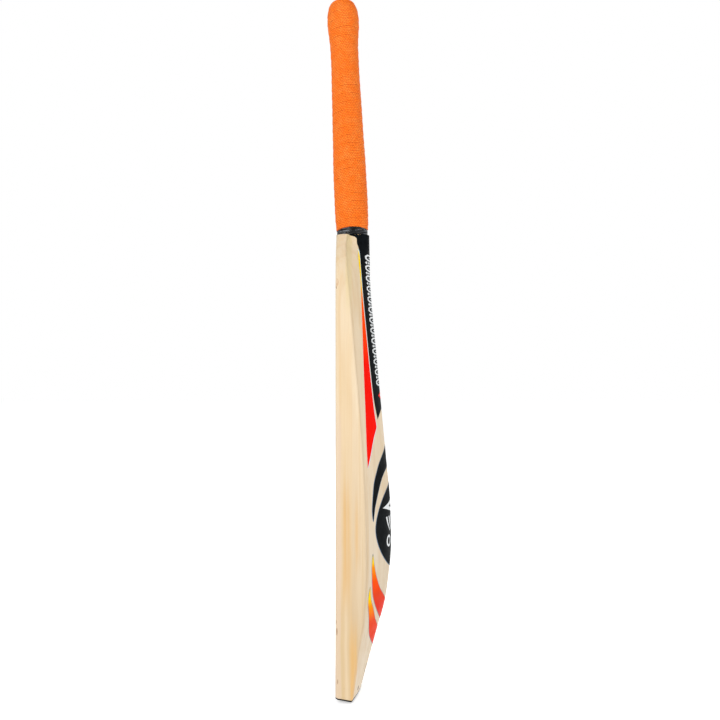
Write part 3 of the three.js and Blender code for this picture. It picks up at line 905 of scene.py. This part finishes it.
def film_solid(outline, lift):
    """Points and faces of a thin closed film that lies on the back of the blade."""
    places, faces = film_faces(outline)
    depth = back_depth(places[:, 0], places[:, 1]) + lift
    depth = depth + SHOULDER_LIFT * smooth_step(*SHOULDER_LIFT_RISE, places[:, 1])
    top = np.stack([places[:, 0], depth, places[:, 1]], axis=1)
    bottom = top - [0, FILM_THICKNESS, 0]
    count = len(top)
    edges = {(a, b) for face in faces for a, b in zip(face, face[1:] + face[:1])}
    rim = [(b, a, a + count, b + count) for a, b in edges if (b, a) not in edges]
    under = [tuple(i + count for i in reversed(face)) for face in faces]
    return np.concatenate([top, bottom]), faces + under + sorted(rim)


def make_print(name, layers, slot, node):
    """A sticker of several films, each (outline, lift, material), as one piece."""
    points, faces, looks, materials = [], [], [], []
    for outline, lift, material in layers:
        base = sum(len(part) for part in points)
        part, part_faces = film_solid(outline, lift)
        if material not in materials:
            materials.append(material)
        points.append(part)
        faces += [tuple(base + i for i in face) for face in part_faces]
        looks += [materials.index(material)] * len(part_faces)
    piece = mesh_object(name, np.concatenate(points), faces, materials[0])
    for material in materials[1:]:
        piece.data.materials.append(material)
    piece.data.polygons.foreach_set("material_index", looks)
    sharp = piece.modifiers.new("rims", "EDGE_SPLIT")
    sharp.split_angle = math.radians(40)
    apply_modifiers(piece)
    return finish_piece(piece, slot, node)


RIM_LIFT = 0.14
LIFT = 0.2
MARK_LIFT = 0.26
MARK_STEP = 0.06


def rimmed(outline, material, rim_material, rim):
    """A printed shape with a rim of another colour round it."""
    return [(grown(outline, rim), RIM_LIFT, rim_material), (outline, LIFT, material)]


def lozenge(x, height, half_width, half_height):
    return [(x + half_width, height), (x, height + half_height), (x - half_width, height),
            (x, height - half_height)]


OCTAGON = [(1, 0.45), (0.7, 1), (-0.7, 1), (-1, 0.45), (-1, -0.45), (-0.7, -1), (0.7, -1), (1, -0.45)]


def octagon(x, height, half_width, half_height):
    return [(x + across * half_width, height + up * half_height) for across, up in OCTAGON]


def oval(x, height, half_width, half_height, sides=48):
    return [(x + half_width * math.cos(turn), height + half_height * math.sin(turn))
            for turn in np.linspace(0, 2 * math.pi, sides, endpoint=False)]


# ---- The seven prints ----

SPINE_LABEL_SIDE = [(21.7, 332.5), (25.8, 356), (27.4, 395), (27.9, 441), (28.3, 489), (26.8, 512),
                    (23.4, 529), (20.9, 538), (18.2, 545.5), (16.2, 553.5), (17.2, 559.8)]
SPINE_MARK_REACH = [(380, 16.5), (420, 19), (505, 19), (535, 15)]
SPINE_LABEL_NOTCH = [(0, 345.5), (12, 341.2), (21.7, 332.5)]
FLAME_INNER = [(25.5, 323.5), (27.8, 348), (29, 395), (29.4, 441), (29.6, 489), (27.4, 512),
               (21.2, 540.5)]
FLAME_OUTER = [(21.2, 540.5), (29.2, 514), (35.9, 441), (40.8, 381), (45, 312), (45.8, 276)]
FLAME_SWEEP = [(45.8, 276), (40.3, 290.5), (33.4, 308.9), (25.5, 323.5)]
ARCH_UPPER = [(0, 298.5), (9, 296), (24.5, 282), (32.5, 269), (38.5, 254), (42.4, 227), (41.4, 212)]
ARCH_LOWER = [(0, 273.5), (10, 271.5), (19.8, 265.5), (28.4, 254), (37.8, 231), (41.4, 212)]
DISC_CENTRE = 201.0
DISC_HALF_WIDTH = 38.2
DISC_HALF_HEIGHT = 51.5
DISC_POWER = 1.75
UPPER_SWOOSH_TOP = [(0, 108.5), (9.3, 110.8), (26.3, 126.7), (35.2, 142.4), (40.1, 157.7), (42.9, 174)]
UPPER_SWOOSH_UNDER = [(0, 84.5), (12.9, 88.5), (25.9, 99.8), (35.1, 113.3), (40.6, 128.6), (43.9, 156.9),
                      (42.9, 174)]
LOWER_SWOOSH_TOP = [(0, 73.5), (13.1, 78.3), (28.5, 92.5), (37, 108.4), (42.3, 120.2), (45.1, 135.6)]
LOWER_SWOOSH_UNDER = [(0, 51), (8, 53), (25.3, 65.4), (37, 80.9), (45.4, 111.4), (46.6, 124.4),
                      (45.1, 135.6)]


CHAIN_START, CHAIN_END, CHAIN_PITCH = 377, 532, 12.8
RED_MARK_HEIGHT = 361


def make_spine_label(black, white, red):
    """The long black label up the spine, with a plain chain of white octagons and lozenges and one
    red mark."""
    top_right, top_left = SPINE_LABEL_SIDE[-1], mirrored(SPINE_LABEL_SIDE)[0]
    outline = closed_line([SPINE_LABEL_SIDE, [top_right, top_left], mirrored(SPINE_LABEL_SIDE),
                           mirrored(SPINE_LABEL_NOTCH), SPINE_LABEL_NOTCH])
    layers = [(outline, LIFT, black)]
    for height in np.arange(CHAIN_START, CHAIN_END, CHAIN_PITCH):
        reach = float(value_at(SPINE_MARK_REACH, height))
        layers.append((octagon(0, height, reach, 4), MARK_LIFT, white))
        layers.append((octagon(0, height, reach - 2.6, 2.2), MARK_LIFT + MARK_STEP, black))
        layers.append((lozenge(0, height, reach - 6, 1.3), MARK_LIFT + 2 * MARK_STEP, white))
        if height + CHAIN_PITCH < CHAIN_END:
            outer, inner = reach - 3.4, reach - 9.4
            for across in (-outer, -inner, 0, inner, outer):
                small = lozenge(across, height + CHAIN_PITCH / 2, 2.6, 1.8)
                layers.append((small, MARK_LIFT, white))
    layers.append((lozenge(0, RED_MARK_HEIGHT, 15, 6.5), MARK_LIFT, red))
    layers.append((lozenge(0, RED_MARK_HEIGHT, 8, 3), MARK_LIFT + MARK_STEP, white))
    return make_print("spine_label_film", layers, "black_print", "spine_label")


FLAME_RIM = 0.48
FLAME_RIM_SHIFT = 0.44


def make_flame(side, material, rim):
    """One of the two long flames beside the spine label; side is -1 or 1. Its pale rim is wider
    towards the label."""
    outline = closed_line([FLAME_INNER, FLAME_OUTER, FLAME_SWEEP])
    outline = [(side * x, height) for x, height in outline]
    towards_spine = [(x - side * FLAME_RIM_SHIFT, height) for x, height in outline]
    layers = [(grown(towards_spine, FLAME_RIM), RIM_LIFT, rim), (outline, LIFT, material)]
    name = "spine_flame_right" if side > 0 else "spine_flame_left"
    return make_print(name + "_film", layers, "red_print", name)


def make_arch(black, rim):
    outline = across_spine(ARCH_UPPER, ARCH_LOWER)
    return make_print("arch_label_film", rimmed(outline, black, rim, 0.6), "black_print", "arch_label")


def disc_outline(sides=96):
    """An oval that is drawn in a little between its four outermost points."""
    def drawn_in(part):
        return math.copysign(abs(part) ** (2 / DISC_POWER), part)
    return [(DISC_HALF_WIDTH * drawn_in(math.cos(turn)),
             DISC_CENTRE + DISC_HALF_HEIGHT * drawn_in(math.sin(turn)))
            for turn in np.linspace(0, 2 * math.pi, sides, endpoint=False)]


def stroke(line, widths):
    """The outline of a curved line that gets thicker and thinner."""
    line = np.array(smooth_line(line) + [line[-1]], float)
    along = np.gradient(line, axis=0)
    along /= np.linalg.norm(along, axis=1, keepdims=True)
    sideways = np.stack([-along[:, 1], along[:, 0]], axis=1)
    widths = np.interp(np.linspace(0, 1, len(line)), np.linspace(0, 1, len(widths)), widths)[:, None]
    return [tuple(point) for point in np.concatenate([line + sideways * widths / 2,
                                                      (line - sideways * widths / 2)[::-1]])]


DISC_LOZENGE_HEIGHT = 225
DISC_FAN = [(1, 213), (0.85, 204), (0.6, 195)]
DISC_FAN_HALF_WIDTH = 19
DISC_RINGS_HEIGHT = 183
DISC_RING_SPACING = 14.6


def make_disc(black, white, rim):
    """The black disc, with a plain lozenge over a fan of strokes and a row of three rings."""
    layers = rimmed(disc_outline(), black, rim, 0.7)
    layers.append((lozenge(0, DISC_LOZENGE_HEIGHT, 26, 9), MARK_LIFT, white))
    layers.append((lozenge(0, DISC_LOZENGE_HEIGHT, 13, 4.2), MARK_LIFT + MARK_STEP, black))
    for across in np.linspace(-DISC_FAN_HALF_WIDTH, DISC_FAN_HALF_WIDTH, 7):
        line = [(narrowed * across, height) for narrowed, height in DISC_FAN]
        layers.append((stroke(line, (2.6, 2.2, 0.8)), MARK_LIFT, white))
    for across in (-DISC_RING_SPACING, 0, DISC_RING_SPACING):
        layers.append((oval(across, DISC_RINGS_HEIGHT, 5.2, 7.2), MARK_LIFT, white))
        layers.append((oval(across, DISC_RINGS_HEIGHT, 3.0, 4.6), MARK_LIFT + MARK_STEP, black))
    return make_print("disc_label_film", layers, "black_print", "disc_label")


def make_swoosh(name, upper, lower, material, rim):
    outline = across_spine(upper, lower)
    return make_print(name + "_film", rimmed(outline, material, rim, 0.5), "red_print", name)


# ---- The bat ----

make_blade(willow_material())
make_toe_guard(rubber_material("toe_rubber", paint(9, 9, 10), paint(26, 23, 20), 0.6))
make_grip(grip_material())
make_tape(tape_material())
make_twine(twine_material())

black_print = film_material("black_print", speckled(BLACK, paint(18, 22, 25)))
white_print = film_material("white_print", speckled(paint(236, 238, 238), paint(214, 219, 222)))
red_mark = film_material("red_mark", speckled(RED, paint(225, 30, 14)))
pale_rim = film_material("pale_rim", speckled(paint(214, 236, 244), paint(186, 220, 234)))
dark_rim = film_material("dark_rim", speckled(paint(118, 136, 156), paint(98, 116, 138)))
flame_print = film_material("flame_print", flame_color(
    [(278, RED), (400, RED), (424, paint(255, 56, 0)), (462, paint(255, 82, 0)),
     (473, paint(254, 100, 0)), (483, paint(253, 142, 0)), (493, paint(252, 192, 0)),
     (503, YELLOW), (541, YELLOW)]))
upper_print = film_material("upper_swoosh_print", flame_color(
    [(84, SOFT_RED), (108, SOFT_RED), (124, paint(224, 66, 20)), (140, DEEP_ORANGE),
     (158, ORANGE), (164, YELLOW), (171, YELLOW), (174, paint(110, 96, 30))]))
lower_print = film_material("lower_swoosh_print", flame_color(
    [(51, SOFT_RED), (70, paint(222, 62, 36)), (92, paint(228, 70, 26)), (112, ORANGE),
     (122, YELLOW), (135.6, YELLOW)]))

make_spine_label(black_print, white_print, red_mark)
for flame_side in (-1, 1):
    make_flame(flame_side, flame_print, pale_rim)
make_arch(black_print, dark_rim)
make_disc(black_print, white_print, dark_rim)
make_swoosh("swoosh_upper", UPPER_SWOOSH_TOP, UPPER_SWOOSH_UNDER, upper_print, dark_rim)
make_swoosh("swoosh_lower", LOWER_SWOOSH_TOP, LOWER_SWOOSH_UNDER, lower_print, dark_rim)

cane = cane_material()
spring = rubber_material("spring_rubber", paint(28, 29, 31), paint(44, 44, 45), 0.75)
for node_name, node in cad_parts.items():
    for prefix, look in (("cane_", cane), ("handle_spring_", spring)):
        if node_name.startswith(prefix):
            node.data.materials.clear()
            node.data.materials.append(look)


# ---- Camera, floor and light ----

CAMERA_PLACE = (877, 29.3, 404.7)
LENS = 35.1
STUDIO_LIGHT = 0.525
FLOOR_GLOW = 0.51
FLOOR_HALF_WIDTH = 6000
FLOOR_GAP = 0.05


def add_camera():
    """The bat is seen from the side, with the playing face to the left."""
    camera = placed(bpy.data.objects.new("camera", bpy.data.cameras.new("camera")))
    camera.data.lens = LENS
    camera.location = to_frame(CAMERA_PLACE)
    camera.rotation_euler = (math.pi / 2, 0, math.pi / 2)
    bpy.context.scene.camera = camera


def add_light(name, place, size, power):
    """A soft square light that points at the middle of the bat."""
    light = placed(bpy.data.objects.new(name, bpy.data.lights.new(name, "AREA")))
    light.data.size = size
    light.data.energy = power
    light.location = place
    aim = Vector((0, 0, BAT_LENGTH / 2 * MM)) - light.location
    light.rotation_euler = aim.to_track_quat("-Z", "Y").to_euler()


def add_floor():
    """A wide pale floor under the lowest point of the toe."""
    corners = [(x * FLOOR_HALF_WIDTH, y * FLOOR_HALF_WIDTH, -FLOOR_GAP)
               for x, y in ((-1, -1), (1, -1), (1, 1), (-1, 1))]
    g = Graph("studio_floor")
    tone = g.noise(g.place, 3, 2.0)
    look = g.surface(g.mix(tone, paint(246, 246, 246), paint(250, 250, 250)), 0.8,
                     Specular_IOR_Level=0.1, Emission_Color=(1, 1, 1, 1), Emission_Strength=FLOOR_GLOW)
    floor = mesh_object("studio_floor", corners, [(0, 1, 2, 3)], look, smooth=False)


def add_world():
    """A white studio. The camera sees it plain white, and it lights the bat less than that."""
    world = bpy.data.worlds.new("studio")
    world.use_nodes = True
    tree = world.node_tree
    shade = tree.nodes["Background"]
    seen = tree.nodes.new("ShaderNodeLightPath")
    strength = tree.nodes.new("ShaderNodeMapRange")
    tree.links.new(seen.outputs["Is Camera Ray"], strength.inputs["Value"])
    strength.inputs["To Min"].default_value = STUDIO_LIGHT
    strength.inputs["To Max"].default_value = 1.0
    tree.links.new(strength.outputs[0], shade.inputs["Strength"])
    shade.inputs["Color"].default_value = (1, 1, 1, 1)
    bpy.context.scene.world = world


add_camera()
add_floor()
add_world()
add_light("key", (1.7, -0.9, 1.8), 1.0, 23)
add_light("fill", (1.5, 1.6, 0.7), 1.2, 7)
add_light("back", (-1.6, 0.6, 1.3), 1.4, 10)
bpy.context.scene.view_settings.view_transform = "Standard"
